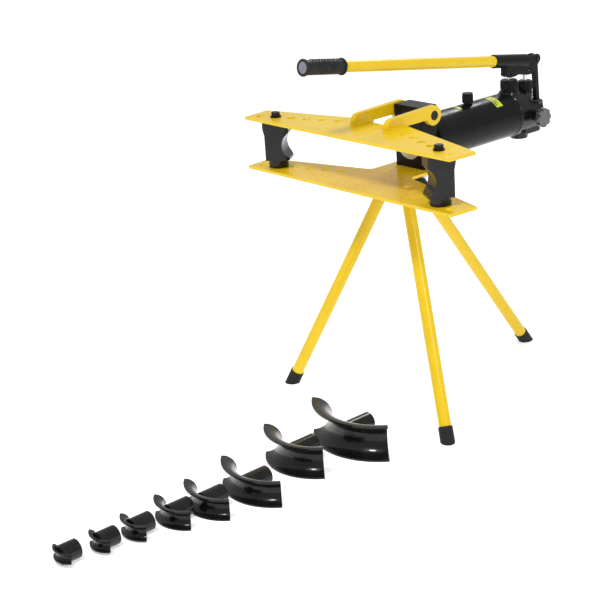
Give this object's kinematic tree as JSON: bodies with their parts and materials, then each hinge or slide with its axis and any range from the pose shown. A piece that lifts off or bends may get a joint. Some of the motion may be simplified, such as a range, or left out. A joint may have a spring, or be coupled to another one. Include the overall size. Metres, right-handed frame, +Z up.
{
  "type": "manual tube bender",
  "caption": "Hydraulic pipe bender with an opening top wing, turning shoes, hand pump, tripod stand and a row of loose formers",
  "frame": {"origin": "the middle of the ram's nose spigot on the ram's axis, with the ram drawn back", "axes": "+X along the wings to the right seen from the front, +Y back along the cylinder to the pump, +Z up"},
  "size_m": [0.788, 1.826, 1.0153],
  "materials": {
    "yellow_paint": "gloss yellow enamel",
    "black_paint": "gloss black enamel",
    "black_casting": "gloss black paint on cast iron",
    "steel": "turned steel",
    "dark_steel": "blackened steel",
    "chrome": "ground and chromed",
    "knob_metal": "dull grey cast",
    "rubber": "black rubber",
    "grip": "black grip",
    "grip_disc": "grey plastic",
    "label": "printed label, no text"
  },
  "bodies": {
    "stand": {"bottom_wing": "yellow_paint", "head_block": "black_paint", "hinge_pin": "dark_steel", "leg_bracket": "black_paint", "left_leg": "yellow_paint", "right_leg": "yellow_paint", "rear_leg": "yellow_paint", "left_foot": "rubber", "right_foot": "rubber", "rear_foot": "rubber", "leg_screws": "steel", "block_screws": "steel", "left_lower_pin": "dark_steel", "right_lower_pin": "dark_steel", "cylinder_tube": "steel", "gland_bush": "steel", "return_spring": "steel", "tank": "black_paint", "tank_collar": "black_paint", "filler_neck": "black_paint", "pump_base": "black_casting", "main_barrel": "steel", "main_barrel_cap": "black_paint", "fast_barrel": "steel", "fast_barrel_cap": "black_paint", "fulcrum_link": "black_paint", "fulcrum_pin": "dark_steel", "link_pin": "dark_steel", "tank_label": "label", "tank_sticker": "label"},
    "top_wing": {"top_wing": "yellow_paint", "top_arm_left": "yellow_paint", "top_arm_right": "yellow_paint"},
    "left_pin": {"left_upper_pin": "dark_steel"},
    "right_pin": {"right_upper_pin": "dark_steel"},
    "left_shoe": {"left_shoe": "black_casting"},
    "right_shoe": {"right_shoe": "black_casting"},
    "ram": {"ram": "chrome", "piston_seal": "rubber"},
    "lever": {"lever_head": "black_paint", "handle_tube": "yellow_paint", "handle_grip": "grip", "grip_plug": "grip_disc"},
    "main_plunger": {"main_plunger": "chrome", "main_plunger_pin": "dark_steel"},
    "fast_plunger": {"fast_plunger": "chrome", "fast_plunger_pin": "dark_steel"},
    "release_valve": {"release_spindle": "steel", "release_knob": "knob_metal"},
    "filler_cap": {"filler_cap": "black_paint"},
    "former_half_inch": {"former_half_inch": "black_casting"},
    "former_three_quarter_inch": {"former_three_quarter_inch": "black_casting"},
    "former_one_inch": {"former_one_inch": "black_casting"},
    "former_one_and_quarter_inch": {"former_one_and_quarter_inch": "black_casting"},
    "former_one_and_half_inch": {"former_one_and_half_inch": "black_casting"},
    "former_two_inch": {"former_two_inch": "black_casting"},
    "former_two_and_half_inch": {"former_two_and_half_inch": "black_casting"},
    "former_three_inch": {"former_three_inch": "black_casting"}
  },
  "joints": [
    {"name": "wing_flip", "type": "hinge", "parent": "stand", "child": "top_wing", "pos_m": [0, 0.043, 0.081], "axis": [-1, 0, 0], "range_deg": [0, 32]},
    {"name": "left_pin_lift", "type": "slide", "parent": "top_wing", "child": "left_pin", "axis": [0, 0, 1], "range_m": [0, 0.06]},
    {"name": "right_pin_lift", "type": "slide", "parent": "top_wing", "child": "right_pin", "axis": [0, 0, 1], "range_m": [0, 0.06]},
    {"name": "left_shoe_turn", "type": "hinge", "parent": "stand", "child": "left_shoe", "pos_m": [-0.3085, -0.1915, 0], "axis": [0, 0, 1], "continuous": true},
    {"name": "right_shoe_turn", "type": "hinge", "parent": "stand", "child": "right_shoe", "pos_m": [0.3085, -0.1915, 0], "axis": [0, 0, 1], "continuous": true},
    {"name": "ram_stroke", "type": "slide", "parent": "stand", "child": "ram", "axis": [0, -1, 0], "range_m": [0, 0.25]},
    {"name": "lever_stroke", "type": "hinge", "parent": "stand", "child": "lever", "pos_m": [0, 0.535, 0.14], "axis": [-1, 0, 0], "range_deg": [0, 28]},
    {"name": "main_plunger_stroke", "type": "slide", "parent": "stand", "child": "main_plunger", "axis": [0, 0, 1], "range_m": [0, 0.0545]},
    {"name": "fast_plunger_stroke", "type": "slide", "parent": "stand", "child": "fast_plunger", "axis": [0, 0, 1], "range_m": [0, 0.0231]},
    {"name": "release_turn", "type": "hinge", "parent": "stand", "child": "release_valve", "pos_m": [0.09, 0.464, -0.008], "axis": [1, 0, 0], "range_deg": [0, 360]},
    {"name": "filler_cap_turn", "type": "hinge", "parent": "stand", "child": "filler_cap", "pos_m": [0, 0.25, 0.08], "axis": [0, 0, 1], "range_deg": [0, 360]},
    {"name": "former_half_inch_lift", "type": "slide", "parent": "stand", "child": "former_half_inch", "axis": [0, 0, 1], "range_m": [0, 0.25]},
    {"name": "former_three_quarter_inch_lift", "type": "slide", "parent": "stand", "child": "former_three_quarter_inch", "axis": [0, 0, 1], "range_m": [0, 0.25]},
    {"name": "former_one_inch_lift", "type": "slide", "parent": "stand", "child": "former_one_inch", "axis": [0, 0, 1], "range_m": [0, 0.25]},
    {"name": "former_one_and_quarter_inch_lift", "type": "slide", "parent": "stand", "child": "former_one_and_quarter_inch", "axis": [0, 0, 1], "range_m": [0, 0.25]},
    {"name": "former_one_and_half_inch_lift", "type": "slide", "parent": "stand", "child": "former_one_and_half_inch", "axis": [0, 0, 1], "range_m": [0, 0.25]},
    {"name": "former_two_inch_lift", "type": "slide", "parent": "stand", "child": "former_two_inch", "axis": [0, 0, 1], "range_m": [0, 0.25]},
    {"name": "former_two_and_half_inch_lift", "type": "slide", "parent": "stand", "child": "former_two_and_half_inch", "axis": [0, 0, 1], "range_m": [0, 0.25]},
    {"name": "former_three_inch_lift", "type": "slide", "parent": "stand", "child": "former_three_inch", "axis": [0, 0, 1], "range_m": [0, 0.25]}
  ],
  "couplings": [
    {"joint": "main_plunger_stroke", "follows": "lever_stroke", "m_per_rad": 0.1112},
    {"joint": "fast_plunger_stroke", "follows": "lever_stroke", "m_per_rad": 0.0471}
  ]
}
